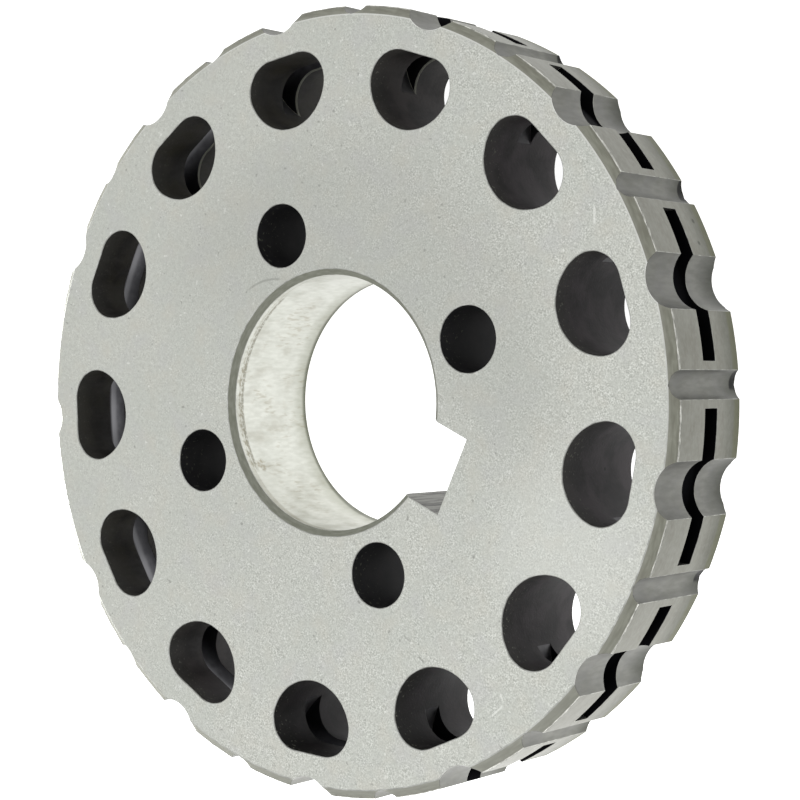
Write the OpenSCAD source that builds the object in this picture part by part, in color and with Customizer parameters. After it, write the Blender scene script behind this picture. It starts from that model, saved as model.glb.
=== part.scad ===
// Rim drive sprocket for a cutting chain whose links carry a centre tang.
// One turned and milled piece. The axis is +Z, the back face lies on z = 0,
// and the keyway points along +X, midway between two of the D windows.

/* [Chain] */
// Number of tang slots, one for each drive link round the rim
teeth = 13; // [12:1:16]
// Distance from one rivet to the next along the chain
chain_pitch = 10.26; // [10:0.01:10.6]
// How far the strap feet stand below the rivet line, measured on the rim
foot_drop = 3.36; // [3:0.02:3.8]

/* [Rim] */
// Thickness of the whole sprocket, face to face
thickness = 12.5; // [10:0.1:16]
// Radial drop of the turned band beside each face
band_drop = 0.95; // [0.5:0.05:1.3]
// Width of that band along the axis
band_width = 0.75; // [0.4:0.05:1.5]

/* [Tang pockets] */
// Radius of the round cutter that sinks each pocket
pocket_cutter_r = 3.1; // [2.4:0.1:3.6]
// Depth of a pocket below the rim
pocket_depth = 1.6; // [1:0.1:1.9]

/* [Relief notches] */
// Radius of the round cutter between two slots
notch_cutter_r = 1.45; // [1.1:0.05:1.8]
// Depth of a notch below the rim
notch_depth = 0.9; // [0.4:0.05:1.1]

/* [Tang slots] */
// Width of a slot along the axis
slot_width = 2.3; // [1.6:0.1:3]
// Radius of the disc cutter that sinks each slot
slot_cutter_r = 7.45; // [6.6:0.05:7.8]
// How far inside the rim the centre of that disc cutter stops
slot_centre_in = 2.3; // [1:0.1:3]

/* [D windows] */
// Radius of the round side of a window
window_r = 4.9; // [4.2:0.05:5]
// Distance from the rim to the centre of a window
window_in = 6.4; // [6.3:0.1:7]
// Distance from the centre of a window to its flat side
window_flat = 2.4; // [1.8:0.05:2.5]
// Radius where the flat runs into the round side
window_corner_r = 3.0; // [2.9:0.05:3.4]

/* [Hub] */
// Diameter of the shaft bore
bore_d = 25.4; // [20:0.1:26.4]
// Bevel on both ends of the bore
bore_bevel = 0.6; // [0.2:0.05:0.8]
// Width of the keyway
key_width = 8; // [5:0.5:9]
// Depth of the keyway below the bore wall
key_depth = 3.8; // [2:0.1:4.2]
// Diameter of the circle that the bolt holes stand on
bolt_circle_d = 35.7; // [35.5:0.1:38]
// Diameter of a bolt hole
bolt_hole_d = 6.4; // [4:0.1:6.8]

/* [Hidden] */
$fn = 96;
step = 360 / teeth;
bolt_count = 4;
// Half a step covers one chain pitch, so the rivets stand on a polygon
rivet_r = chain_pitch / (2 * sin(step / 4));
rim_r = rivet_r - foot_drop;
face_r = rim_r - band_drop;
bore_r = bore_d / 2;
window_ring_r = rim_r - window_in;
slot_ring_r = rim_r - slot_centre_in;
pocket_ring_r = rim_r - pocket_depth + pocket_cutter_r;
notch_ring_r = rim_r - notch_depth + notch_cutter_r;
// Centre of a corner arc, and the place where it meets the round side
corner_x = window_flat - window_corner_r;
corner_gap = window_r - window_corner_r;
corner_y = sqrt(corner_gap * corner_gap - corner_x * corner_x);
meet_x = corner_x * window_r / corner_gap;
meet_y = corner_y * window_r / corner_gap;
past = 1;

sprocket();

// The whole part, placed with its back face on z = 0
module sprocket() {
    color([0.68, 0.69, 0.66])
    difference() {
        blank();
        bore();
        keyway();
        bolt_holes();
        round_the_rim(step / 2) window();
        round_the_rim(step / 2) pocket();
        round_the_rim(step / 2) tang_slot();
        round_the_rim(0) notch();
    }
}

// Repeats a cut once for each tooth, starting at a given angle from +X
module round_the_rim(start) {
    for (i = [0 : teeth - 1])
        rotate([0, 0, start + i * step])
        children();
}

// The turned disc with a sloping band beside each face
module blank() {
    rotate_extrude()
    polygon([
        [0, 0],
        [face_r, 0],
        [rim_r, band_width],
        [rim_r, thickness - band_width],
        [face_r, thickness],
        [0, thickness]
    ]);
}

// The shaft bore, opened by a bevel at each end
module bore() {
    rotate_extrude()
    polygon([
        [0, -past],
        [bore_r + bore_bevel + past, -past],
        [bore_r, bore_bevel],
        [bore_r, thickness - bore_bevel],
        [bore_r + bore_bevel + past, thickness + past],
        [0, thickness + past]
    ]);
}

// The square-cornered keyway, cut through from face to face
module keyway() {
    translate([0, -key_width / 2, -past])
    cube([bore_r + key_depth, key_width, thickness + 2 * past]);
}

// Bolt holes at 45 degrees either side of the keyway and opposite it
module bolt_holes() {
    for (i = [0 : bolt_count - 1])
        rotate([0, 0, 45 + i * 360 / bolt_count])
        translate([bolt_circle_d / 2, 0, -past])
        cylinder(h = thickness + 2 * past, d = bolt_hole_d);
}

// A window that lets swarf fall out from under the chain tang
module window() {
    translate([window_ring_r, 0, -past])
    linear_extrude(height = thickness + 2 * past)
    window_outline();
}

// Round on the hub side and flat on the rim side, with soft corners
module window_outline() {
    union() {
        intersection() {
            circle(r = window_r);
            translate([meet_x - 2 * window_r, -window_r])
            square([2 * window_r, 2 * window_r]);
        }
        translate([corner_x, corner_y]) circle(r = window_corner_r);
        translate([corner_x, -corner_y]) circle(r = window_corner_r);
        polygon([
            [meet_x, meet_y],
            [corner_x, corner_y],
            [window_flat, corner_y],
            [window_flat, -corner_y],
            [corner_x, -corner_y],
            [meet_x, -meet_y]
        ]);
    }
}

// A hollow across the rim that clears the belly of a drive link
module pocket() {
    translate([pocket_ring_r, 0, -past])
    cylinder(h = thickness + 2 * past, r = pocket_cutter_r);
}

// A shallow hollow across the rim between two slots
module notch() {
    translate([notch_ring_r, 0, -past])
    cylinder(h = thickness + 2 * past, r = notch_cutter_r);
}

// The narrow slot for the tang, sunk by a disc cutter into the window
module tang_slot() {
    translate([slot_ring_r, 0, (thickness - slot_width) / 2])
    cylinder(h = slot_width, r = slot_cutter_r);
}
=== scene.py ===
# %% [markdown]
# A chain sprocket in blasted steel.
# This lesson dresses a machined sprocket: a flat steel disc with D-shaped windows,
# tang slots round its rim, a keyed bore and four bolt holes. The exact solid comes
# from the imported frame. Blender rebuilds the same shape with broken edges and a
# ragged burr, and gives each machined area its own procedural steel.

# %% Load the frame
import math

import bmesh
import bpy
from mathutils import Matrix, Vector


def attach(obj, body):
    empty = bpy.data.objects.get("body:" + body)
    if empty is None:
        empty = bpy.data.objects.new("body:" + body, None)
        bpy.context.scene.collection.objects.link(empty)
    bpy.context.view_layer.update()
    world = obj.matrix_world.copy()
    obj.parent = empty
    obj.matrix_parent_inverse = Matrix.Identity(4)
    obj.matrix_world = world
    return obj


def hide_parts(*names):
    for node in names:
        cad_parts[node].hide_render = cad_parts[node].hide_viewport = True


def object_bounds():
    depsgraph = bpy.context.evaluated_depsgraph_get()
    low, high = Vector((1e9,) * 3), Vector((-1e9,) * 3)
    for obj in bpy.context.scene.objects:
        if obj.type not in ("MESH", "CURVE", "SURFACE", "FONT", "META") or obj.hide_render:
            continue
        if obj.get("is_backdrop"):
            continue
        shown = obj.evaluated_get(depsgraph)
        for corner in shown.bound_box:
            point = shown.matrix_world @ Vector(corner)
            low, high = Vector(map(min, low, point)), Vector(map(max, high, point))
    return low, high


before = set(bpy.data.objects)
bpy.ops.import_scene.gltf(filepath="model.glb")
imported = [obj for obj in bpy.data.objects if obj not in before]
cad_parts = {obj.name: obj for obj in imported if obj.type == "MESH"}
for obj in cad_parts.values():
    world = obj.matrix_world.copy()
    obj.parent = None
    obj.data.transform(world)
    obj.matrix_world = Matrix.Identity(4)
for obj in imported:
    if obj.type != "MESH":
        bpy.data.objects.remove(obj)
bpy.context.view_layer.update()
scene = bpy.context.scene

# %% [markdown]
# Sizes come first, because every later step reads them.
# They are the same ones that the solid was built from, in millimetres, with +Z up out
# of the front face and +X through the keyway. One tooth is one step round the rim, and
# the shape of half a tooth is enough: the other half is its mirror image.

# %% Sizes in millimetres
MM = 0.001
TEETH = 13
STEP = 2 * math.pi / TEETH
HALF = STEP / 2
THICK = 12.5
CHAIN_PITCH, FOOT_DROP = 10.26, 3.36
RIM_R = CHAIN_PITCH / (2 * math.sin(STEP / 4)) - FOOT_DROP
BAND_DROP, BAND_W = 0.95, 0.75
FACE_R = RIM_R - BAND_DROP
POCKET_R, POCKET_DEPTH = 3.1, 1.6
POCKET_X = RIM_R - POCKET_DEPTH + POCKET_R
NOTCH_R, NOTCH_DEPTH = 1.45, 0.9
NOTCH_X = RIM_R - NOTCH_DEPTH + NOTCH_R
SLOT_W, SLOT_R, SLOT_IN = 2.3, 7.45, 2.3
SLOT_X = RIM_R - SLOT_IN
SLOT_LOW, SLOT_HIGH = (THICK - SLOT_W) / 2, (THICK + SLOT_W) / 2
WIN_R, WIN_FLAT, WIN_CORNER, WIN_IN = 4.9, 2.4, 3.0, 6.4
WIN_X = RIM_R - WIN_IN
BORE_R, BORE_BEVEL = 12.7, 0.6
KEY_HALF, KEY_FLOOR = 4.0, 16.5
BOLT_RING, BOLT_R = 17.85, 3.2
SEAM_R = 24.5
print("rim radius", round(RIM_R, 2), "mm, window ring", round(WIN_X, 2), "mm")

# %% [markdown]
# The photograph was taken from in front of the face, a little to one side, so the
# turned rim shows along one edge only. The camera stands at that measured place and is
# turned a quarter round, because the sprocket's far edge is at the side of the picture.

# %% Camera
CAMERA_AT = Vector((114.5, 56.267, 171.857)) * MM
CAMERA_RIGHT = Vector((0.7272, 0.3382, -0.5974))
CAMERA_DOWN = Vector((0.4282, -0.9036, 0.0097))
PHOTO_PX = 800
FOCAL_PX = 2058.8


def camera_axes(right, down):
    """A rotation matrix from the picture's right and down directions."""
    x = right.normalized()
    z = x.cross(-down).normalized()
    y = z.cross(x)
    return Matrix((x, y, z)).transposed()


camera_data = bpy.data.cameras.new("photo_camera")
camera = bpy.data.objects.new("photo_camera", camera_data)
camera.matrix_world = (Matrix.Translation(CAMERA_AT)
                       @ camera_axes(CAMERA_RIGHT, CAMERA_DOWN).to_4x4())
camera_data.sensor_width = 36.0
camera_data.lens = FOCAL_PX / PHOTO_PX * camera_data.sensor_width
camera_data.clip_start = 0.005
scene.collection.objects.link(camera)
scene.camera = camera
print("camera", round(CAMERA_AT.length, 4), "m away, lens", round(camera_data.lens, 1))

# %% [markdown]
# The finish number of a face says which machining made it. Writing it on the faces as
# an attribute lets the node tree hand out the materials at the end, and keeps the
# number with the face through mirroring, copying and welding.

# %% Finish numbers and small helpers
(FACE, BAND, PAD, POCKET, WINDOW, SLOT, SIDE, BORE, BEVEL, BOLT, KEYWAY, EDGE,
 RIM_EDGE) = range(13)
FINISHES = ["blasted_face", "turned_band", "turned_pad", "milled_pocket", "window_wall",
            "slot_end_wall", "slot_side", "bore_wall", "bore_bevel", "bolt_hole_wall",
            "keyway_wall", "broken_edge", "dull_rim_edge"]


def arc(cx, cy, r, start, end, parts):
    """Points on a circle from one angle to another, both ends included."""
    step = (end - start) / parts
    return [(cx + r * math.cos(start + i * step), cy + r * math.sin(start + i * step))
            for i in range(parts + 1)]


def meet_angle(r, centre, cutter):
    """Angle at which a circle of radius r about the axis meets a cutter's circle."""
    return math.acos((r * r + centre * centre - cutter * cutter) / (2 * r * centre))


class Builder:
    """Collects faces in millimetres and turns them into one welded mesh."""

    def __init__(self):
        self.bm = bmesh.new()
        self.finish = self.bm.faces.layers.int.new("finish")

    def face(self, points, finish):
        """One flat face, its points anticlockwise as seen from outside."""
        verts = [self.bm.verts.new(Vector(p) * MM) for p in points]
        new = self.bm.faces.new(verts)
        new[self.finish] = finish

    def wall(self, low, high, finish):
        """A strip between two outlines. Its outside is on the right of the outline."""
        for i in range(len(low) - 1):
            self.face([low[i], low[i + 1], high[i + 1], high[i]], finish)

    def done(self, name):
        """The mesh object, with points that coincide welded together."""
        bmesh.ops.remove_doubles(self.bm, verts=self.bm.verts, dist=1e-7)
        mesh = bpy.data.meshes.new(name)
        self.bm.to_mesh(mesh)
        self.bm.free()
        made = bpy.data.objects.new(name, mesh)
        scene.collection.objects.link(made)
        print(name, "has", len(mesh.polygons), "faces")
        return made


def at(points, z):
    """The same outline at a height."""
    return [(x, y, z) for x, y in points]


# %% [markdown]
# Half a tooth. Seen from above it runs from the middle of a window to the middle of the
# next notch. The rim outline is three cutter paths joined end to end: the pocket's round
# hollow, the turned pad and the notch. Near each face the pad's circle shrinks, and
# that makes the sloping band. The cutters meet that slope on curves, so the band has
# four levels, and the notch runs out to a point just as it reaches the face. Every
# height uses the same number of points, so plain strips of quads join them.

# %% Outlines of half a tooth
POCKET_PARTS, PAD_NEAR, PAD_FAR, NOTCH_PARTS = 8, 6, 2, 6
SEAM_PARTS, WIN_PARTS, CORNER_PARTS, SLOT_PARTS = 4, 12, 16, 12
BAND_STEPS = (0, 0.3, 0.55, 0.8, 1)


def rim_outline(r):
    """From the floor of the pocket to the floor of the notch, for a disc of radius r."""
    pocket_end = meet_angle(r, POCKET_X, POCKET_R)
    notch_half = meet_angle(r, NOTCH_X, NOTCH_R) if r > NOTCH_X - NOTCH_R else 0
    slot_end = meet_angle(RIM_R, SLOT_X, SLOT_R)
    turn = math.atan2(r * math.sin(pocket_end), r * math.cos(pocket_end) - POCKET_X)
    points = arc(POCKET_X, 0, POCKET_R, math.pi, turn, POCKET_PARTS)
    points += arc(0, 0, r, pocket_end, slot_end, PAD_NEAR)[1:]
    points += arc(0, 0, r, slot_end, HALF - notch_half, PAD_FAR)[1:]
    cx, cy = NOTCH_X * math.cos(HALF), NOTCH_X * math.sin(HALF)
    first = points[-1]
    if notch_half == 0:
        return points + [first] * NOTCH_PARTS
    turn = math.atan2(first[1] - cy, first[0] - cx) % (2 * math.pi)
    points += arc(cx, cy, NOTCH_R, turn, HALF + math.pi, NOTCH_PARTS)[1:]
    return points


def window_outline():
    """Over the top of a window, from its hub side to the middle of its flat."""
    corner_x = WIN_FLAT - WIN_CORNER
    gap = WIN_R - WIN_CORNER
    corner_y = math.sqrt(gap * gap - corner_x * corner_x)
    join = math.atan2(corner_y, corner_x)
    reach = SLOT_X - WIN_X
    slot_x = (WIN_R ** 2 - SLOT_R ** 2 + reach ** 2) / (2 * reach)
    slot_at = math.acos(slot_x / WIN_R)
    points = arc(WIN_X, 0, WIN_R, math.pi, slot_at, WIN_PARTS)
    in_slot = len(points) - 1
    points += arc(WIN_X, 0, WIN_R, slot_at, join, 1)[1:]
    points += arc(WIN_X + corner_x, corner_y, WIN_CORNER, join, 0, CORNER_PARTS)[1:]
    points.append((WIN_X + WIN_FLAT, 0))
    return points, in_slot


slope = [(BAND_W * t, FACE_R + BAND_DROP * t) for t in BAND_STEPS]
levels = slope + [(SLOT_LOW, RIM_R), (SLOT_HIGH, RIM_R)]
levels += [(THICK - z, r) for z, r in reversed(slope)]
rims = {(z, r): at(rim_outline(r), z) for z, r in levels}
window, slot_corner = window_outline()
slot_index = POCKET_PARTS + PAD_NEAR
print(len(rims[levels[0]]), "points on half a rim,", len(window), "on half a window")

# %% [markdown]
# The faces of half a tooth. The slot is the hard part: between its two heights the
# rim and the window lose their walls, a round end wall joins them, and a floor and a
# ceiling close what the disc cutter left.

# %% Mesh of half a tooth
half_tooth = Builder()
seam = arc(0, 0, SEAM_R, HALF, 0, SEAM_PARTS)
rim_parts = [(0, POCKET_PARTS, POCKET),
             (POCKET_PARTS, POCKET_PARTS + PAD_NEAR + PAD_FAR, PAD),
             (POCKET_PARTS + PAD_NEAR + PAD_FAR,
              POCKET_PARTS + PAD_NEAR + PAD_FAR + NOTCH_PARTS, POCKET)]

for lower, upper in zip(levels, levels[1:]):
    sloping = lower[1] != upper[1]
    in_slot = lower[0] == SLOT_LOW
    for first, last, finish in rim_parts:
        if in_slot:
            first = max(first, slot_index)
        if first >= last:
            continue
        low, high = rims[lower][first:last + 1], rims[upper][first:last + 1]
        half_tooth.wall(low, high, BAND if sloping and finish == PAD else finish)

window_top = at(window, THICK)
half_tooth.face(window_top + rims[levels[-1]] + at(seam, THICK), FACE)
half_tooth.face((at(window, 0) + rims[levels[0]] + at(seam, 0))[::-1], FACE)
for low_z, high_z, last in ((0, SLOT_LOW, len(window) - 1),
                            (SLOT_LOW, SLOT_HIGH, slot_corner),
                            (SLOT_HIGH, THICK, len(window) - 1)):
    cut = window[:last + 1]
    half_tooth.wall(at(cut, low_z), at(cut, high_z), WINDOW)

slot_end = rim_outline(RIM_R)[slot_index]
corner = window[slot_corner]
turn_out = math.atan2(slot_end[1], slot_end[0] - SLOT_X)
turn_in = math.atan2(corner[1], corner[0] - SLOT_X)
end_wall = arc(SLOT_X, 0, SLOT_R, turn_out, turn_in, SLOT_PARTS)
half_tooth.wall(at(end_wall[::-1], SLOT_LOW), at(end_wall[::-1], SLOT_HIGH), SLOT)
slot_floor = window[slot_corner:] + rim_outline(RIM_R)[:slot_index + 1] + end_wall[1:-1]
half_tooth.face(at(slot_floor, SLOT_LOW), SIDE)
half_tooth.face(at(slot_floor, SLOT_HIGH)[::-1], SIDE)
half_tooth = half_tooth.done("half_tooth")

# %% [markdown]
# The hub inside the windows doesn't repeat thirteen times, so it is made by itself, in
# eight slices of 45 degrees. Straight cuts between the slices pass through the middle of
# the bolt holes and the keyway, which leaves every flat face as one simple outline.

# %% Mesh of the hub
BORE_PARTS, BOLT_PARTS, SEAM_SLICE = 12, 20, 13
SLICE = math.pi / 4
hub = Builder()
bore_levels = [(0, BORE_R + BORE_BEVEL), (BORE_BEVEL, BORE_R),
               (THICK - BORE_BEVEL, BORE_R), (THICK, BORE_R + BORE_BEVEL)]


def turned(points, angle):
    """An outline turned about the axis."""
    c, s = math.cos(angle), math.sin(angle)
    return [(x * c - y * s, x * s + y * c) for x, y in points]


def bore_slice(r, k):
    """The bore's edge across slice k, which stops short at the keyway."""
    start, end = k * SLICE, (k + 1) * SLICE
    keyed = math.asin(KEY_HALF / r)
    start = keyed if k == 0 else start
    end = 2 * math.pi - keyed if k == 7 else end
    return arc(0, 0, r, start, end, BORE_PARTS)


def slice_outline(k, r):
    """One slice of the face, anticlockwise from the seam's first point."""
    outline = arc(0, 0, SEAM_R, k * SLICE, (k + 1) * SLICE, SEAM_SLICE)
    if k % 2 == 0:
        outline += turned(arc(BOLT_RING, 0, BOLT_R, 0, -math.pi, BOLT_PARTS), (k + 1) * SLICE)
    outline += bore_slice(r, k)[::-1]
    if k == 0:
        outline += [(KEY_FLOOR, KEY_HALF), (KEY_FLOOR, 0)]
    if k == 7:
        outline[SEAM_SLICE + 1:SEAM_SLICE + 1] = [(KEY_FLOOR, 0), (KEY_FLOOR, -KEY_HALF)]
    if k % 2 == 1:
        outline += turned(arc(BOLT_RING, 0, BOLT_R, math.pi, 0, BOLT_PARTS), k * SLICE)
    return outline


for k in range(8):
    hub.face(at(slice_outline(k, bore_levels[-1][1]), THICK), FACE)
    hub.face(at(slice_outline(k, bore_levels[0][1]), 0)[::-1], FACE)
    for (low_z, low_r), (high_z, high_r) in zip(bore_levels, bore_levels[1:]):
        low, high = bore_slice(low_r, k)[::-1], bore_slice(high_r, k)[::-1]
        hub.wall(at(low, low_z), at(high, high_z), BORE if low_r == high_r else BEVEL)
for k in range(4):
    hole = turned(arc(BOLT_RING, 0, BOLT_R, 2 * math.pi, 0, 2 * BOLT_PARTS), (2 * k + 1) * SLICE)
    hub.wall(at(hole, 0), at(hole, THICK), BOLT)

mouth = [(math.sqrt(r * r - KEY_HALF ** 2), z) for z, r in bore_levels]
side = mouth + [(KEY_FLOOR, THICK), (KEY_FLOOR, 0)]
hub.face([(x, KEY_HALF, z) for x, z in side][::-1], KEYWAY)
hub.face([(x, -KEY_HALF, z) for x, z in side], KEYWAY)
key_floor = [(KEY_FLOOR, KEY_HALF), (KEY_FLOOR, 0), (KEY_FLOOR, -KEY_HALF)]
hub.wall(at(key_floor, 0), at(key_floor, THICK), KEYWAY)
hub = hub.done("hub")

# %% [markdown]
# The ring of teeth follows one rule, so Geometry Nodes make it. The tree mirrors the
# half tooth, sets a copy at each step round the axis, joins the hub, welds the seams and
# gives every face the steel that its finish number asks for. Its last nodes are Realize
# Instances and Set Material, so what comes out is plain geometry with its materials.

# %% Materials to hand out
materials = {name: bpy.data.materials.new(name) for name in FINISHES}

# %% Node tree for the ring of teeth


def socket(tree, name, kind, value=None):
    """A named input of the tree, with its starting value."""
    made = tree.interface.new_socket(name, in_out="INPUT", socket_type=kind)
    if value is not None:
        made.default_value = value
    return made


ring = bpy.data.node_groups.new("ring_of_teeth", "GeometryNodeTree")
socket(ring, "Half tooth", "NodeSocketGeometry")
hub_in = socket(ring, "Hub", "NodeSocketObject")
teeth_in = socket(ring, "Teeth", "NodeSocketInt", TEETH)
first_in = socket(ring, "First angle", "NodeSocketFloat", HALF)
step_in = socket(ring, "Step angle", "NodeSocketFloat", STEP)
weld_in = socket(ring, "Weld distance", "NodeSocketFloat", 1e-6)
ring.interface.new_socket("Sprocket", in_out="OUTPUT", socket_type="NodeSocketGeometry")


def node(tree, kind, **settings):
    """A node with its settings, laid out by hand later if the tree is opened."""
    made = tree.nodes.new(kind)
    for key, value in settings.items():
        setattr(made, key, value)
    return made


def wire(tree, *runs):
    """Links, each from a named output of one node to a named input of another."""
    for start, output, end, entry in runs:
        tree.links.new(start.outputs[output], end.inputs[entry])


given = node(ring, "NodeGroupInput")
result = node(ring, "NodeGroupOutput")
mirror = node(ring, "GeometryNodeTransform")
mirror.inputs["Scale"].default_value = (1, -1, 1)
flip = node(ring, "GeometryNodeFlipFaces")
tooth = node(ring, "GeometryNodeJoinGeometry")
places = node(ring, "GeometryNodePoints")
index = node(ring, "GeometryNodeInputIndex")
times = node(ring, "ShaderNodeMath", operation="MULTIPLY_ADD")
turn = node(ring, "ShaderNodeCombineXYZ")
copies = node(ring, "GeometryNodeInstanceOnPoints")
real = node(ring, "GeometryNodeRealizeInstances")
hub_info = node(ring, "GeometryNodeObjectInfo")
whole = node(ring, "GeometryNodeJoinGeometry")
weld = node(ring, "GeometryNodeMergeByDistance")
number = node(ring, "GeometryNodeInputNamedAttribute", data_type="INT")
number.inputs["Name"].default_value = "finish"

wire(ring,
     (given, "Half tooth", mirror, "Geometry"),
     (mirror, "Geometry", flip, "Mesh"),
     (given, "Half tooth", tooth, "Geometry"),
     (flip, "Mesh", tooth, "Geometry"),
     (given, "Teeth", places, "Count"),
     (index, "Index", times, 0),
     (given, "Step angle", times, 1),
     (given, "First angle", times, 2),
     (times, "Value", turn, "Z"),
     (places, "Points", copies, "Points"),
     (tooth, "Geometry", copies, "Instance"),
     (turn, "Vector", copies, "Rotation"),
     (copies, "Instances", whole, "Geometry"),
     (given, "Hub", hub_info, "Object"),
     (hub_info, "Geometry", whole, "Geometry"),
     (whole, "Geometry", real, "Geometry"),
     (real, "Geometry", weld, "Geometry"),
     (given, "Weld distance", weld, "Distance"))
last = weld
for value, name in enumerate(FINISHES):
    same = node(ring, "FunctionNodeCompare", data_type="INT", operation="EQUAL")
    same.inputs[3].default_value = value
    paint = node(ring, "GeometryNodeSetMaterial")
    paint.inputs["Material"].default_value = materials[name]
    wire(ring,
         (number, "Attribute", same, 2),
         (same, "Result", paint, "Selection"),
         (last, "Geometry", paint, "Geometry"))
    last = paint
wire(ring, (last, "Geometry", result, "Sprocket"))
print("tree has", len(ring.nodes), "nodes")

# %% Run the tree and keep a plain mesh
runner = half_tooth.modifiers.new("ring", "NODES")
runner.node_group = ring
runner[hub_in.identifier] = hub
runner[teeth_in.identifier] = TEETH
runner[first_in.identifier] = HALF
runner[step_in.identifier] = STEP
runner[weld_in.identifier] = 1e-6
evaluated = half_tooth.evaluated_get(bpy.context.evaluated_depsgraph_get())
sprocket_mesh = bpy.data.meshes.new_from_object(evaluated)
sprocket_mesh.name = "dressed_sprocket"
half_tooth.modifiers.remove(runner)
for spare in (half_tooth, hub):
    bpy.data.objects.remove(spare)
sprocket = bpy.data.objects.new("dressed_sprocket", sprocket_mesh)
scene.collection.objects.link(sprocket)
check = bmesh.new()
check.from_mesh(sprocket_mesh)
open_edges = [e for e in check.edges if not e.is_manifold]
print("sprocket", len(sprocket_mesh.polygons), "faces,", len(open_edges), "open edges, volume",
      round(check.calc_volume() * 1e9), "mm3")
check.free()

# %% [markdown]
# No machined edge is truly sharp. Deburring leaves a tiny flat that catches the light,
# and that thin line is much of what makes metal look real. The flats aren't all alike:
# the windows were rounded over by the blasting, while the slots kept crisp edges. Each
# edge gets its own width from the two finishes that meet there. The lips of the slots in
# the far windows get the widest flat, because light from outside reaches them, and take
# the paler band steel as a painted highlight. Flats that look dull in the photograph are
# handed a darker finish afterwards.

# %% Broken edges
WIDEST, USUAL = 0.15, 0.06
SHARP = math.radians(24)
NEAR_LIP, LIP_FROM, LIP_TO = 0.2, 85, 165
CORNER_ZONE, SLOT_MOUTH = 0.09, 2.5
WIDTHS = {(FACE, WINDOW): 0.11, (FACE, BOLT): 0.10, (FACE, BEVEL): 0.05,
          (BORE, BEVEL): 0.04, (FACE, BAND): 0.07, (BAND, PAD): 0.07,
          (BAND, POCKET): 0.03, (PAD, POCKET): 0.035, (FACE, POCKET): 0.06,
          (PAD, SLOT): 0.04, (PAD, SIDE): 0.04, (POCKET, SIDE): 0.04,
          (WINDOW, SLOT): 0.04, (WINDOW, SIDE): 0.04, (SLOT, SIDE): 0.03,
          (FACE, KEYWAY): 0.06, (BORE, KEYWAY): 0.04, (BEVEL, KEYWAY): 0.04}


def on_a_lip(x, y, z):
    """The lower lips of the slots that catch light inside the far windows."""
    facing = LIP_FROM < math.degrees(math.atan2(y, x)) < LIP_TO
    return facing and abs(z - SLOT_LOW) < NEAR_LIP


for name in FINISHES:
    if name not in sprocket_mesh.materials:
        sprocket_mesh.materials.append(materials[name])
slot_of = [sprocket_mesh.materials.find(name) for name in FINISHES]

edges = bmesh.new()
edges.from_mesh(sprocket_mesh)
weight = edges.edges.layers.float.new("bevel_weight_edge")
broken = 0
for edge in edges.edges:
    if edge.calc_face_angle(0) < SHARP:
        continue
    pair = sorted(slot_of.index(f.material_index) for f in edge.link_faces)
    x, y, z = (edge.verts[0].co + edge.verts[1].co) / 2 / MM
    if pair == [WINDOW, SIDE] and on_a_lip(x, y, z):
        edge[weight] = 1.0
    else:
        edge[weight] = WIDTHS.get(tuple(pair), USUAL) / WIDEST
    broken += 1
edges.to_mesh(sprocket_mesh)
edges.free()

bevel = sprocket.modifiers.new("edge_break", "BEVEL")
bevel.width = WIDEST * MM
bevel.segments = 2
bevel.limit_method = "WEIGHT"
bevel.use_clamp_overlap = False
bevel.material = slot_of[EDGE]
evaluated = sprocket.evaluated_get(bpy.context.evaluated_depsgraph_get())
beveled = bpy.data.meshes.new_from_object(evaluated)
sprocket.modifiers.remove(bevel)
sprocket.data = beveled
beveled.shade_smooth()
dulled = 0
for polygon in beveled.polygons:
    x, y, z = polygon.center / MM
    if polygon.material_index != slot_of[EDGE]:
        continue
    reach = math.hypot(x, y)
    level = abs(z - THICK / 2) < SLOT_W / 2 + NEAR_LIP
    inside_slot = level and reach < RIM_R - SLOT_MOUTH
    from_face = min(z, THICK - z)
    if inside_slot:
        # Painted highlight: the lips that catch light take the paler band steel.
        polygon.material_index = slot_of[BAND if on_a_lip(x, y, z) else WINDOW]
    elif z < 1 and reach < BORE_R + 1:
        polygon.material_index = slot_of[BORE]
    elif reach > FACE_R - 1 and CORNER_ZONE < from_face < BAND_W - CORNER_ZONE:
        polygon.material_index = slot_of[POCKET]
    elif reach > FACE_R - 1 and from_face > BAND_W - CORNER_ZONE:
        polygon.material_index = slot_of[RIM_EDGE]
    else:
        continue
    dulled += 1
print(broken, "edges broken, now", len(beveled.polygons), "faces,", dulled, "of them duller")

# %% Weighted normals keep the flats flat
weighted = sprocket.modifiers.new("flat_flats", "WEIGHTED_NORMAL")
weighted.mode = "FACE_AREA"
weighted.weight = 90
weighted.keep_sharp = True

# %% [markdown]
# The lathe tool pushes a little metal over the front edge of each pad and leaves a
# ragged bright burr. It is a thin bead of metal along the edge, thick in one place and
# thin in the next, with breaks where the cutters went through. A second tree sweeps it
# along the edges of all the pads and lets noise set its thickness.

# %% Node tree for the burr
BURR_R, BURR_Z, BURR_THICK = RIM_R - 0.1, THICK - BAND_W + 0.04, 0.095
RAGGED = 1100.0
pad_start = meet_angle(RIM_R, POCKET_X, POCKET_R)
pad_end = HALF - meet_angle(RIM_R, NOTCH_X, NOTCH_R)
bead = bpy.data.node_groups.new("burr_on_the_pads", "GeometryNodeTree")
radius_in = socket(bead, "Radius", "NodeSocketFloat", BURR_R * MM)
height_in = socket(bead, "Height", "NodeSocketFloat", BURR_Z * MM)
start_in = socket(bead, "Start angle", "NodeSocketFloat", pad_start)
sweep_in = socket(bead, "Sweep angle", "NodeSocketFloat", pad_end - pad_start)
copies_in = socket(bead, "Teeth", "NodeSocketInt", TEETH)
turn_in = socket(bead, "Step angle", "NodeSocketFloat", STEP)
thick_in = socket(bead, "Thickness", "NodeSocketFloat", BURR_THICK * MM)
ragged_in = socket(bead, "Ragged", "NodeSocketFloat", RAGGED)
bead.interface.new_socket("Burr", in_out="OUTPUT", socket_type="NodeSocketGeometry")

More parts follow.
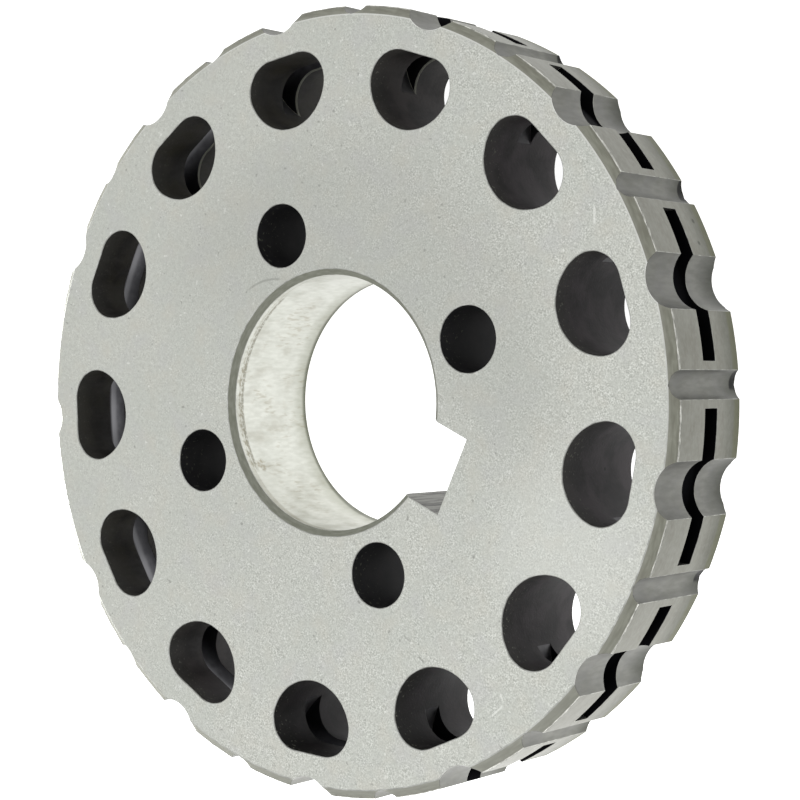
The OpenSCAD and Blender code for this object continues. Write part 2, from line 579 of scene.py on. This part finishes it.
given = node(bead, "NodeGroupInput")
result = node(bead, "NodeGroupOutput")
curve = node(bead, "GeometryNodeCurveArc", mode="RADIUS")
curve.inputs["Resolution"].default_value = 90
lift = node(bead, "ShaderNodeCombineXYZ")
raised = node(bead, "GeometryNodeTransform")
mirror = node(bead, "GeometryNodeTransform")
mirror.inputs["Scale"].default_value = (1, -1, 1)
pair = node(bead, "GeometryNodeJoinGeometry")
places = node(bead, "GeometryNodePoints")
index = node(bead, "GeometryNodeInputIndex")
times = node(bead, "ShaderNodeMath", operation="MULTIPLY_ADD")
turn = node(bead, "ShaderNodeCombineXYZ")
copies = node(bead, "GeometryNodeInstanceOnPoints")
real = node(bead, "GeometryNodeRealizeInstances")
where = node(bead, "GeometryNodeInputPosition")
noise = node(bead, "ShaderNodeTexNoise")
noise.inputs["Detail"].default_value = 4.0
amount = node(bead, "ShaderNodeMapRange")
for name, value in (("From Min", 0.4), ("From Max", 0.7), ("To Min", 0.55), ("To Max", 1.0)):
    amount.inputs[name].default_value = value
thickness = node(bead, "GeometryNodeSetCurveRadius")
profile = node(bead, "GeometryNodeCurvePrimitiveCircle", mode="RADIUS")
profile.inputs["Resolution"].default_value = 6
swept = node(bead, "GeometryNodeCurveToMesh")
swept.inputs["Fill Caps"].default_value = True
metal = node(bead, "GeometryNodeSetMaterial")
burr_steel = bpy.data.materials.new("burr")
metal.inputs["Material"].default_value = burr_steel

times.inputs[2].default_value = HALF
wire(bead,
     (given, "Radius", curve, "Radius"),
     (given, "Start angle", curve, "Start Angle"),
     (given, "Sweep angle", curve, "Sweep Angle"),
     (given, "Height", lift, "Z"),
     (curve, "Curve", raised, "Geometry"),
     (lift, "Vector", raised, "Translation"),
     (raised, "Geometry", mirror, "Geometry"),
     (raised, "Geometry", pair, "Geometry"),
     (mirror, "Geometry", pair, "Geometry"),
     (given, "Teeth", places, "Count"),
     (index, "Index", times, 0),
     (given, "Step angle", times, 1),
     (times, "Value", turn, "Z"),
     (places, "Points", copies, "Points"),
     (pair, "Geometry", copies, "Instance"),
     (turn, "Vector", copies, "Rotation"),
     (copies, "Instances", real, "Geometry"),
     (where, "Position", noise, "Vector"),
     (given, "Ragged", noise, "Scale"),
     (noise, "Fac", amount, "Value"),
     (real, "Geometry", thickness, "Curve"),
     (amount, "Result", thickness, "Radius"),
     (thickness, "Curve", swept, "Curve"),
     (amount, "Result", swept, "Scale"),
     (given, "Thickness", profile, "Radius"),
     (profile, "Curve", swept, "Profile Curve"),
     (swept, "Mesh", metal, "Geometry"),
     (metal, "Geometry", result, "Burr"))

carrier = bpy.data.objects.new("burr_carrier", bpy.data.meshes.new("burr_carrier"))
scene.collection.objects.link(carrier)
sweeper = carrier.modifiers.new("burr", "NODES")
sweeper.node_group = bead
for made, value in ((radius_in, BURR_R * MM), (height_in, BURR_Z * MM),
                    (start_in, pad_start), (sweep_in, pad_end - pad_start),
                    (copies_in, TEETH), (turn_in, STEP), (thick_in, BURR_THICK * MM),
                    (ragged_in, RAGGED)):
    sweeper[made.identifier] = value
evaluated = carrier.evaluated_get(bpy.context.evaluated_depsgraph_get())
burr_mesh = bpy.data.meshes.new_from_object(evaluated)
carrier.modifiers.remove(sweeper)
bpy.data.objects.remove(carrier)
burr = bpy.data.objects.new("burr_on_the_pads", burr_mesh)
scene.collection.objects.link(burr)
burr_mesh.shade_smooth()
print("burr has", len(burr_mesh.polygons), "faces")

# %% [markdown]
# Every finish is steel, so one small class builds them all. It reads the place on the
# object in millimetres, which lets each pattern be given at its true size: a grain of
# 0.3 mm, a streak 5 mm long. Patterns come from noise, are stretched to a chosen range
# and tint the metal or lift its surface a few thousandths of a millimetre. A finish is
# built up in layers: ground is the first, and tint and lay cover what is there so far.

# %% A steel with patterns in millimetres
# Given last to remap, this eases both ends of the ramp
SOFT = True


class Steel:
    """One finish on its material, with helpers for patterns at true size."""

    def __init__(self, material, rough, metallic=1.0):
        material.use_nodes = True
        self.tree = material.node_tree
        self.shader = self.tree.nodes["Principled BSDF"]
        self.shader.inputs["Metallic"].default_value = metallic
        self.shader.inputs["Roughness"].default_value = rough
        place = self.add("ShaderNodeTexCoord")
        scale = self.add("ShaderNodeVectorMath", operation="SCALE")
        scale.inputs["Scale"].default_value = 1 / MM
        self.join(place.outputs["Object"], scale.inputs[0])
        self.mm = scale.outputs["Vector"]

    def add(self, kind, **settings):
        return node(self.tree, kind, **settings)

    def join(self, start, end):
        self.tree.links.new(start, end)

    def put(self, value, end):
        """A number, a colour or another node's output goes into a socket."""
        if isinstance(value, bpy.types.NodeSocket):
            self.join(value, end)
        elif isinstance(value, tuple):
            end.default_value = (*value, 1.0)[:4]
        else:
            end.default_value = value

    def noise(self, per_mm, detail=2.0, stretch=(1, 1, 1), seed=0.0):
        """Noise with so many blobs per millimetre, slowed along an axis by stretch."""
        place = self.add("ShaderNodeMapping")
        place.inputs["Scale"].default_value = stretch
        place.inputs["Location"].default_value = (seed, 0.7 * seed, 1.3 * seed)
        made = self.add("ShaderNodeTexNoise")
        made.inputs["Scale"].default_value = per_mm
        made.inputs["Detail"].default_value = detail
        self.join(self.mm, place.inputs["Vector"])
        self.join(place.outputs["Vector"], made.inputs["Vector"])
        return made.outputs["Fac"]

    def remap(self, value, low, high, to_low=0.0, to_high=1.0, smooth=False):
        """Stretches a range of a pattern to another range, and holds it there."""
        made = self.add("ShaderNodeMapRange")
        made.interpolation_type = "SMOOTHSTEP" if smooth else "LINEAR"
        self.join(value, made.inputs["Value"])
        for name, number in (("From Min", low), ("From Max", high),
                             ("To Min", to_low), ("To Max", to_high)):
            made.inputs[name].default_value = number
        return made.outputs["Result"]

    def math(self, operation, first, second=0.0):
        made = self.add("ShaderNodeMath", operation=operation)
        self.put(first, made.inputs[0])
        self.put(second, made.inputs[1])
        return made.outputs["Value"]

    def times(self, first, second):
        return self.math("MULTIPLY", first, second)

    def between(self, value, start, full, fading, end):
        """0 up to start, 1 from full to fading and 0 again from end on."""
        return self.times(self.remap(value, start, full, 0.0, 1.0, SOFT),
                          self.remap(value, fading, end, 1.0, 0.0, SOFT))

    def mix(self, factor, first, second):
        """Goes from the first colour to the second as factor goes from 0 to 1."""
        made = self.add("ShaderNodeMix", data_type="RGBA", blend_type="MIX")
        self.put(factor, made.inputs[0])
        self.put(first, made.inputs[6])
        self.put(second, made.inputs[7])
        return made.outputs[2]

    def axis(self, name):
        """One coordinate in millimetres."""
        made = self.add("ShaderNodeSeparateXYZ")
        self.join(self.mm, made.inputs["Vector"])
        return made.outputs[name]

    def reach(self):
        """Distance from the axis in millimetres."""
        flat = self.add("ShaderNodeVectorMath", operation="MULTIPLY")
        flat.inputs[1].default_value = (1, 1, 0)
        self.join(self.mm, flat.inputs[0])
        length = self.add("ShaderNodeVectorMath", operation="LENGTH")
        self.join(flat.outputs["Vector"], length.inputs[0])
        return length.outputs["Value"]

    def dot(self, middle, radius, soft):
        """1 within a radius of a place on the part, fading over a soft rim."""
        gap = self.add("ShaderNodeVectorMath", operation="DISTANCE")
        self.join(self.mm, gap.inputs[0])
        gap.inputs[1].default_value = middle
        return self.remap(gap.outputs["Value"], radius, radius + soft, 1.0, 0.0, SOFT)

    def scratch(self, first, middle, last, wide):
        """1 on a fine arc through three places on the front face, with soft ends."""
        (ax, ay), (bx, by), (cx, cy) = first, middle, last
        twice = 2 * (ax * (by - cy) + bx * (cy - ay) + cx * (ay - by))
        a, b, c = ax * ax + ay * ay, bx * bx + by * by, cx * cx + cy * cy
        x = (a * (by - cy) + b * (cy - ay) + c * (ay - by)) / twice
        y = (a * (cx - bx) + b * (ax - cx) + c * (bx - ax)) / twice
        gap = self.add("ShaderNodeVectorMath", operation="DISTANCE")
        self.join(self.mm, gap.inputs[0])
        gap.inputs[1].default_value = (x, y, THICK)
        off = self.math("ABSOLUTE", self.math("SUBTRACT", gap.outputs["Value"],
                                              math.hypot(ax - x, ay - y)))
        line = self.remap(off, wide / 2, wide, 1.0, 0.0, SOFT)
        long = math.dist(first, last) / 2
        return self.times(line, self.dot((bx, by, THICK), 0.7 * long, 0.5 * long))

    def colour(self, value):
        """Sets the colour of the metal, which later layers cover."""
        self.skin = value
        self.put(value, self.shader.inputs["Base Color"])

    def ground(self, pattern, low, high, first, second):
        """The first layer, from one colour to another with a pattern."""
        self.colour(self.mix(self.remap(pattern, low, high), first, second))

    def lay(self, colour, amount):
        """Covers what is there with a colour, fully where the amount is 1."""
        self.colour(self.mix(amount, self.skin, colour))

    def tint(self, colour, pattern, *ramp):
        """Lays a colour by a pattern, stretched first as remap does."""
        self.lay(colour, self.remap(pattern, *ramp))

    def rough(self, value):
        self.put(value, self.shader.inputs["Roughness"])

    def bump(self, height, depth_mm):
        """Lifts the surface by a pattern of 0 to 1 times a depth in millimetres."""
        made = self.add("ShaderNodeBump")
        made.inputs["Strength"].default_value = 1.0
        made.inputs["Distance"].default_value = depth_mm * MM
        self.join(height, made.inputs["Height"])
        self.join(made.outputs["Normal"], self.shader.inputs["Normal"])


# %% [markdown]
# The faces were blasted with fine grit. That leaves an even, pale, slightly speckled
# grey with no direction, dull enough to show no reflections. Up close there are lighter
# and darker grains of about 0.3 mm, a few dark specks and pale glints, and faint warm,
# green and bluish patches where the steel has begun to tone. The grain is coarser
# towards the keyway side. A few single scratches lie where the photograph shows them.

# %% Blasted face
DARK_LINE, LIGHT_LINE = (0.26, 0.265, 0.24), (0.93, 0.94, 0.9)
SCRATCHES = [
    (((-13.97, 6.42), (-12.76, 7.61), (-10.25, 8.8)), 0.14, 0.42, DARK_LINE),
    (((20.15, 29.3), (20.6, 28.5), (20.9, 27.75)), 0.16, 0.45, LIGHT_LINE),
    (((20.3, -17.35), (20.75, -17.49), (21.15, -17.62)), 0.12, 0.5, DARK_LINE),
    (((17.92, -16.42), (18.4, -16.49), (18.9, -16.53)), 0.12, 0.35, DARK_LINE),
    (((30.05, -18.19), (30.36, -17.47), (30.73, -16.71)), 0.12, 0.45, LIGHT_LINE),
]
PAINTED_LIGHT_SPOT = (31.0, 0.0, THICK)
face = Steel(materials["blasted_face"], 0.58)
grain = face.noise(2.4, 3.0)
fine = face.noise(6.2, 1.0, seed=5.0)
cloud = face.noise(0.12, 2.0, seed=11.0)
tone = face.noise(0.35, 2.0, seed=23.0)
bluish = face.noise(0.3, 2.0, seed=27.0)
across = face.axis("X")
coarse = face.times(face.remap(face.noise(0.7, 2.0, seed=9.0), 0.35, 0.65, 0.35, 1.0),
                    face.remap(across, -30.0, 8.0, 0.4, 1.0, SOFT))
face.ground(grain, 0.3, 0.7, (0.565, 0.573, 0.53), (0.652, 0.666, 0.617))
dark = face.times(face.remap(fine, 0.5, 0.28), coarse)
face.lay((0.31, 0.318, 0.288), face.times(dark, 0.6))
light = face.times(face.remap(fine, 0.5, 0.7), coarse)
face.lay((0.97, 0.98, 0.94), face.times(light, 0.6))
face.tint((0.54, 0.575, 0.535), cloud, 0.35, 0.65, 0.0, 0.22)
face.tint((0.635, 0.615, 0.545), tone, 0.5, 0.72, 0.0, 0.32)
face.tint((0.57, 0.57, 0.575), bluish, 0.52, 0.74, 0.0, 0.3)
specks = face.noise(1.9, 1.0, seed=31.0)
face.tint((0.25, 0.25, 0.23), specks, 0.73, 0.79, 0.0, 0.5)
glints = face.noise(2.1, 1.0, seed=47.0)
face.tint((0.88, 0.89, 0.85), glints, 0.7, 0.78, 0.0, 0.5)
# Painted shade darkens the inner face towards +Y, and a painted pool of light brightens the face
# round a spot near the rim on the keyway side.
middle = face.times(face.remap(face.reach(), 21.0, 32.0, 0.3, 0.0, SOFT),
                    face.remap(face.axis("Y"), -4.0, 12.0, 0.15, 1.0, SOFT))
face.lay((0.4, 0.41, 0.38), middle)
face.lay((0.78, 0.795, 0.755), face.times(face.dot(PAINTED_LIGHT_SPOT, 3.0, 9.0), 0.3))
for places, wide, amount, tint in SCRATCHES:
    face.lay(tint, face.times(face.scratch(*places, wide), amount))
face.bump(face.math("ADD", grain, face.times(fine, 0.5)), 0.015)

# %% [markdown]
# The rim was turned on a lathe, so its fine lines run round the part. The pads are a
# satin grey with two small pits. They are painted darker and olive towards the back as
# painted shade, where the light falls away, and a little darker towards the front and on
# the -Y side. The sloping band is darker and warmer, because the blasting never reached
# it, and is painted a little paler where it meets the face and towards -Y, as painted
# light.

# %% Turned pad and band
PITS = [((24.86, 30.31, 2.63), 0.12), ((26.59, 28.8, 3.2), 0.1)]
pad = Steel(materials["turned_pad"], 0.5)
lines = pad.noise(4.5, 3.0, (0.3, 0.3, 1.0))
mottle = pad.noise(0.9, 3.0, (0.5, 0.5, 1.0), seed=3.0)
pad.ground(lines, 0.35, 0.65, (0.165, 0.166, 0.143), (0.205, 0.206, 0.18))
pad.tint((0.15, 0.147, 0.124), mottle, 0.42, 0.66, 0.0, 0.65)
spots = pad.noise(3.0, 2.0, (0.7, 0.7, 1.0), seed=4.0)
pad.tint((0.26, 0.262, 0.24), spots, 0.4, 0.75, 0.0, 0.35)
height = pad.axis("Z")
# Painted shade: darker and olive towards the back edge, a little darker towards the front and on
# the -Y side.
pad.tint((0.03, 0.034, 0.02), height, 0.7, 4.3, 0.66, 0.0)
pad.tint((0.03, 0.034, 0.015), height, 0.7, 1.3, 0.35, 0.0, SOFT)
pad.tint((0.05, 0.05, 0.04), height, 7.5, 11.4, 0.0, 0.13)
pad.tint((0.1, 0.103, 0.05), height, 1.6, 2.1, 0.5, 0.0, SOFT)
pad.tint((0.06, 0.06, 0.05), pad.axis("Y"), -16.0, -6.0, 0.16, 0.0)
for place, wide in PITS:
    pad.lay((0.02, 0.02, 0.016), pad.times(pad.dot(place, wide, 0.2), 0.6))
pad.rough(pad.remap(lines, 0.3, 0.7, 0.44, 0.56))
pad.bump(lines, 0.004)

band = Steel(materials["turned_band"], 0.68, 0.35)
lines = band.noise(6.0, 3.0, (0.1, 0.1, 1.0), seed=7.0)
mottle = band.noise(0.8, 3.0, seed=13.0)
band.ground(lines, 0.35, 0.65, (0.188, 0.19, 0.151), (0.26, 0.264, 0.217))
band.tint((0.172, 0.168, 0.134), mottle, 0.45, 0.7, 0.0, 0.6)
# Painted light: paler where the band meets the face and towards -Y.
band.tint((0.36, 0.362, 0.32), band.reach(), FACE_R, FACE_R + 0.4, 0.35, 0.0, SOFT)
band.tint((0.33, 0.335, 0.3), band.axis("Y"), -16.0, 2.0, 0.4, 0.0)
band.bump(lines, 0.005)

# %% [markdown]
# The pockets and notches were cut by an end mill running along the axis. Its faint
# marks lie the other way, and the metal is a shade darker and more even than the pads.
# The back end of each notch is painted black as painted shade, and the pockets are
# painted darker towards the back, a little towards the front and on the -Y side. The
# cosine of thirteen times the angle picks the notches out: it is 1 in the middle of a
# notch and -1 in the middle of a pocket. The sine leaves one side of each notch without
# the painted black, as in the photograph.

# %% Milled pocket
pocket = Steel(materials["milled_pocket"], 0.5)
marks = pocket.noise(2.2, 2.0, (1.0, 1.0, 0.3), seed=17.0)
cloud = pocket.noise(0.5, 2.0, seed=19.0)
pocket.ground(marks, 0.35, 0.65, (0.134, 0.135, 0.121), (0.168, 0.169, 0.154))
pocket.tint((0.14, 0.14, 0.138), cloud, 0.4, 0.65, 0.0, 0.4)
height = pocket.axis("Z")
# Painted shade: darker towards the back, the front and the -Y side.
pocket.tint((0.025, 0.028, 0.018), height, 0.1, 3.6, 0.72, 0.0)
pocket.tint((0.04, 0.04, 0.035), height, 7.5, 10.8, 0.0, 0.18)
pocket.tint((0.04, 0.04, 0.035), pocket.axis("Y"), -16.0, -6.0, 0.1, 0.0)
angle = pocket.math("ARCTAN2", pocket.axis("Y"), pocket.axis("X"))
angle = pocket.times(angle, TEETH)
in_notch = pocket.remap(pocket.math("COSINE", angle), 0.0, 0.3)
in_notch = pocket.times(in_notch, pocket.remap(pocket.math("SINE", angle), -0.2, -0.1))
# Painted shade: black at the back end of each notch, on one side only.
notch_shade = pocket.times(in_notch, pocket.remap(height, 1.05, 1.3, 0.97, 0.0, SOFT))
pocket.lay((0.002, 0.002, 0.0015), notch_shade)
pocket.bump(marks, 0.004)

# %% [markdown]
# Inside the windows, slots and bolt holes the steel kept a dark oxide from hardening.
# It is almost black, violet towards the keyway and brown on the other side, with soft
# stains, one pit and pale specks of grit near the front. The walls are painted paler
# towards the front as painted light, and the windows on the -Y side towards the keyway
# are painted near black as painted shade. The floors of the slots are bare steel, painted
# black as painted shade except in a ring inside the rim away from the keyway, which holds
# a paler painted streak of light; they stay black at the mouth. The end wall of each slot
# is painted paler at its outer end, a painted highlight.

# %% Dark oxide
WALL_PIT = (27.32, 5.97, 4.96)
wall = Steel(materials["window_wall"], 0.6, 0.0)
cloud = wall.noise(0.32, 4.0, seed=29.0)
stain = wall.remap(cloud, 0.42, 0.6)
drill = wall.noise(1.3, 3.0, (1.0, 1.0, 0.35), seed=33.0)
violet = wall.mix(stain, (0.009, 0.0066, 0.0072), (0.044, 0.0355, 0.039))
brown = wall.mix(stain, (0.006, 0.005, 0.0025), (0.026, 0.0235, 0.0145))
right = wall.remap(wall.axis("X"), -22.0, 4.0, 0.0, 1.0, SOFT)
wall.colour(wall.mix(right, brown, violet))
wall.tint((0.036, 0.031, 0.031), drill, 0.45, 0.7, 0.0, 0.4)
wall.lay((0.001, 0.001, 0.001), wall.dot(WALL_PIT, 0.1, 0.15))
height = wall.axis("Z")
# Painted light: the walls are paler towards the front.
wall.tint((0.042, 0.041, 0.036), height, 9.0, 12.45, 0.0, 0.7, SOFT)
# Painted shade: the windows on the -Y side towards the keyway are near black, with weaker
# reflections.
lower = wall.times(wall.remap(wall.axis("Y"), -31.0, -3.0, 0.72, 0.0),
                   wall.remap(wall.axis("X"), -3.0, 9.0, 0.0, 1.0, SOFT))
wall.lay((0.001, 0.001, 0.001), lower)
grit = wall.noise(3.4, 2.0, seed=35.0)
spray = wall.times(wall.remap(height, 9.0, 12.2, 0.0, 1.0), wall.remap(grit, 0.64, 0.69))
spray = wall.times(spray, wall.remap(right, 0.0, 1.0, 0.3, 1.0))
wall.lay((0.17, 0.175, 0.14), spray)
wall.put(wall.remap(lower, 0.0, 0.72, 0.35, 0.16), wall.shader.inputs["Specular IOR Level"])
wall.bump(wall.math("ADD", drill, grit), 0.02)

bolt = Steel(materials["bolt_hole_wall"], 0.62, 0.0)
cloud = bolt.noise(0.6, 3.0, seed=41.0)
bolt.ground(cloud, 0.35, 0.7, (0.004, 0.004, 0.005), (0.011, 0.0105, 0.0115))
height = bolt.axis("Z")
grit = bolt.noise(3.2, 2.0, seed=49.0)
spray = bolt.times(bolt.remap(height, 7.5, 12.0, 0.0, 1.0), bolt.remap(grit, 0.64, 0.7))
bolt.lay((0.1, 0.105, 0.08), spray)
bolt.shader.inputs["Specular IOR Level"].default_value = 0.25

floor = Steel(materials["slot_side"], 0.48)
cloud = floor.noise(0.9, 3.0, seed=37.0)
reach = floor.reach()
# Painted light and shade: the floor is black except in a ring inside the rim away from the
# keyway, with a paler streak of light in it, and black at the mouth.
painted_lit_ring = floor.remap(reach, RIM_R - 4.8, RIM_R - 2.4, 0.1, 1.0, SOFT)
painted_lit_ring = floor.times(painted_lit_ring, floor.remap(reach, RIM_R - 2.1, RIM_R - 1.7, 1.0, 0.0, SOFT))
painted_lit_ring = floor.times(painted_lit_ring, floor.remap(floor.axis("X"), 12.0, 22.0, 1.0, 0.05, SOFT))
floor.ground(cloud, 0.35, 0.7, (0.11, 0.11, 0.12), (0.17, 0.17, 0.182))
floor.tint((0.26, 0.26, 0.272), reach, RIM_R - 2.95, RIM_R - 2.4, 0.0, 0.8, SOFT)
floor.colour(floor.mix(painted_lit_ring, (0.012, 0.012, 0.014), floor.skin))

end = Steel(materials["slot_end_wall"], 0.5)
cloud = end.noise(0.9, 3.0, seed=39.0)
reach = end.reach()
end.ground(cloud, 0.35, 0.7, (0.1, 0.1, 0.105), (0.15, 0.148, 0.15))
# Painted highlight: the end wall is paler towards its outer end.
end.tint((0.22, 0.22, 0.205), reach, RIM_R - 1.3, RIM_R - 0.1, 0.0, 0.9, SOFT)

# %% [markdown]
# The bore was reamed and then used, so it is the brightest metal on the part. It has
# short marks along the axis, smudges, clusters of darker strokes and one scuff. Just
# below the front bevel runs a speckled worn ring with a fine line above it. The wall is
# painted darker towards the keyway, near the front on the -Y side and at its back end,
# all painted shade. The bevel is dull like the band, and the keyway is dark with broach
# marks along the axis and painted shade at its back end.

# %% Bore, bevel and keyway
SCUFF = [((-6.9, -10.66, 9.9), 0.3, 0.35), ((-7.2, -10.46, 10.4), 0.15, 0.4),
         ((-7.45, -10.28, 9.75), 0.12, 0.4)]
bore = Steel(materials["bore_wall"], 0.4)
marks = bore.noise(2.6, 4.0, (1.0, 1.0, 0.3), seed=43.0)
smudge = bore.noise(0.5, 4.0, (1.0, 1.0, 0.7), seed=53.0)
stroke = bore.noise(1.9, 2.0, (1.6, 1.6, 0.4), seed=57.0)
cluster = bore.noise(0.3, 2.0, (1.0, 1.0, 0.6), seed=65.0)
height = bore.axis("Z")
bore.ground(marks, 0.35, 0.65, (0.51, 0.518, 0.472), (0.578, 0.586, 0.542))
bore.tint((0.45, 0.43, 0.36), smudge, 0.54, 0.7, 0.0, 0.3)
stroke = bore.times(bore.remap(stroke, 0.54, 0.68, 0.0, 0.5),
                    bore.remap(cluster, 0.46, 0.6))
bore.lay((0.35, 0.32, 0.25), stroke)
across, along = bore.axis("X"), bore.axis("Y")
speckle = bore.remap(bore.noise(3.2, 3.0, seed=59.0), 0.36, 0.56, 0.15, 1.0)
crumbs = bore.remap(bore.noise(2.6, 4.0, seed=63.0), 0.46, 0.62)
worn = bore.between(height, 10.6, 10.75, 11.0, 11.15)
side = bore.times(bore.remap(across, -7.4, -6.2, 1.0, 0.0, SOFT),
                  bore.remap(along, 5.8, 7.6, 1.0, 0.0, SOFT))
worn = bore.times(worn, bore.times(speckle, side))
bore.lay((0.2, 0.19, 0.15), bore.times(worn, 0.75))
upper = bore.between(height, 10.7, 10.95, 11.3, 11.75)
upper = bore.times(upper, side)
heavy = bore.remap(along, 1.5, -1.5, 0.35, 0.8, SOFT)
upper = bore.times(upper, bore.times(heavy, crumbs))
bore.lay((0.24, 0.225, 0.17), upper)
fine_line = bore.between(height, 11.2, 11.26, 11.32, 11.38)
fine_line = bore.times(fine_line, bore.times(speckle, 0.45))
bore.lay((0.26, 0.23, 0.17), fine_line)
# Painted shade: darker near the front on the -Y side, towards the keyway.
painted_shade_top = bore.times(bore.remap(across, -12.0, 2.0, 0.0, 0.85, SOFT),
                   bore.remap(along, -4.0, -2.0, 1.0, 0.0, SOFT))
painted_shade_top = bore.times(painted_shade_top, bore.remap(height, 11.0, 11.5, 0.0, 1.0, SOFT))
bore.lay((0.3, 0.29, 0.24), painted_shade_top)
scuff = bore.dot(*SCUFF[0])
for place in SCUFF[1:]:
    scuff = bore.math("MAXIMUM", scuff, bore.dot(*place))
bore.lay((0.3, 0.28, 0.22), bore.times(scuff, bore.times(speckle, 0.8)))
# Painted shade: darker towards the keyway and at the back end, more so on the keyway side.
bore.tint((0.2, 0.2, 0.15), across, -8.5, 3.5, 0.0, 0.48)
lift = bore.remap(across, -6.0, 3.5, 0.0, 0.65)
exit_way = bore.math("SUBTRACT", height, lift)
bore.tint((0.16, 0.165, 0.1), exit_way, 1.0, 3.2, 0.4, 0.0)
bore.tint((0.055, 0.06, 0.035), exit_way, 0.72, 1.35, 0.78, 0.0, SOFT)
bore.rough(bore.remap(smudge, 0.4, 0.7, 0.34, 0.5))
bore.bump(marks, 0.003)

chamfer = Steel(materials["bore_bevel"], 0.68, 0.35)
lines = chamfer.noise(5.0, 2.0, (0.2, 0.2, 1.0), seed=61.0)
chamfer.ground(lines, 0.35, 0.65, (0.215, 0.222, 0.178), (0.275, 0.284, 0.236))

keyway = Steel(materials["keyway_wall"], 0.45)
broach = keyway.noise(3.6, 4.0, (1.0, 1.0, 0.06), seed=67.0)
height = keyway.axis("Z")
keyway.ground(broach, 0.38, 0.6, (0.03, 0.03, 0.026), (0.17, 0.17, 0.155))
# Painted shade: darker at the back end.
keyway.tint((0.03, 0.03, 0.025), height, 0.1, 1.0, 0.85, 0.0, SOFT)
keyway.bump(broach, 0.01)

# %% [markdown]
# Broken edges and burrs are bare metal, so most of them are paler than the surfaces
# beside them. Round the outside of the face they are painted brighter towards +Y as a
# painted highlight, and the edges on the rim itself are duller.

# %% Bare edges
edge = Steel(materials["broken_edge"], 0.48)
wear = edge.noise(1.1, 3.0, seed=71.0)
edge.ground(wear, 0.35, 0.65, (0.33, 0.335, 0.31), (0.56, 0.57, 0.54))
# Painted highlight: the outer edges of the face are paler towards +Y.
outer_edge_highlight = edge.times(edge.remap(edge.reach(), FACE_R - 0.8, FACE_R - 0.5, 0.0, 0.75, SOFT),
                   edge.remap(edge.axis("Y"), 4.0, 30.0))
edge.lay((0.78, 0.79, 0.75), outer_edge_highlight)

rim_edge = Steel(materials["dull_rim_edge"], 0.5)
wear = rim_edge.noise(1.3, 3.0, seed=79.0)
rim_edge.ground(wear, 0.4, 0.65, (0.17, 0.172, 0.155), (0.36, 0.362, 0.335))

burr_finish = Steel(burr_steel, 0.35)
wear = burr_finish.noise(1.4, 2.0, seed=73.0)
burr_finish.ground(wear, 0.35, 0.65, (0.3, 0.3, 0.27), (0.66, 0.66, 0.61))
print(len(materials) + 1, "finishes")

# %% Ride on the frame
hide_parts("sprocket")
for piece in (sprocket, burr):
    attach(piece, "root")

# %% [markdown]
# The photograph is a cut-out on pure white, lit evenly from all sides. A glowing white
# table stands for that background: it shows white through the bore and the windows and
# lights the rim from below. The table glows more at one place near the rim, which makes
# the lower right of the rim brighter than the rest. A large soft lamp above the near side
# lifts that side of the face, and a small lamp level with the slots shines through them
# from the far side, so the floors of the slots catch light inside the far windows.

# %% Table and sky
GLOW_AT = Vector((34.0, -54.0, 0)) * MM
GLOW_REACH, GLOW_MOST, GLOW_LEAST = 80 * MM, 2.45, 0.9
SKY, TABLE_HALF = 0.86, 3.0
floor_mesh = bpy.data.meshes.new("table")
corners = [(x * TABLE_HALF, y * TABLE_HALF, 0) for x, y in ((-1, -1), (1, -1), (1, 1), (-1, 1))]
floor_mesh.from_pydata(corners, [], [(0, 1, 2, 3)])
table = bpy.data.objects.new("table", floor_mesh)
scene.collection.objects.link(table)
table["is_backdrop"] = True
table_paint = bpy.data.materials.new("glowing_table")
table_paint.use_nodes = True
shader = table_paint.node_tree.nodes["Principled BSDF"]
shader.inputs["Base Color"].default_value = (0.8, 0.8, 0.8, 1)
shader.inputs["Roughness"].default_value = 0.9
shader.inputs["Emission Color"].default_value = (1, 1, 1, 1)
place = node(table_paint.node_tree, "ShaderNodeTexCoord")
gap = node(table_paint.node_tree, "ShaderNodeVectorMath", operation="DISTANCE")
gap.inputs[1].default_value = GLOW_AT
glow = node(table_paint.node_tree, "ShaderNodeMapRange", interpolation_type="SMOOTHSTEP")
for name, value in (("From Min", 0.0), ("From Max", GLOW_REACH),
                    ("To Min", GLOW_MOST), ("To Max", GLOW_LEAST)):
    glow.inputs[name].default_value = value
wire(table_paint.node_tree,
     (place, "Object", gap, 0),
     (gap, "Value", glow, "Value"),
     (glow, "Result", shader, "Emission Strength"))
floor_mesh.materials.append(table_paint)

world = bpy.data.worlds.new("studio")
scene.world = world
world.use_nodes = True
world.node_tree.nodes["Background"].inputs["Color"].default_value = (1, 1, 1, 1)
world.node_tree.nodes["Background"].inputs["Strength"].default_value = SKY
scene.view_settings.view_transform = "Standard"

# %% Soft lamps


def soft_lamp(name, place, width, tall, watts):
    """An area lamp that faces the middle of the part."""
    data = bpy.data.lights.new(name, "AREA")
    data.shape = "RECTANGLE"
    data.size, data.size_y = width, tall
    data.energy = watts
    lamp = bpy.data.objects.new(name, data)
    lamp.location = place
    lamp.rotation_euler = (-Vector(place)).to_track_quat("-Z", "Y").to_euler()
    scene.collection.objects.link(lamp)
    lamp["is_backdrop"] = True


soft_lamp("above_the_near_side", (0.0, -0.20, 0.346), width=0.4, tall=0.4, watts=0.22)
soft_lamp("through_the_far_slots", (-0.27, -0.15, 0.0102), width=0.02, tall=0.004, watts=1.0)

# %% Finish
low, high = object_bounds()
print("visual box from", tuple(low), "to", tuple(high))
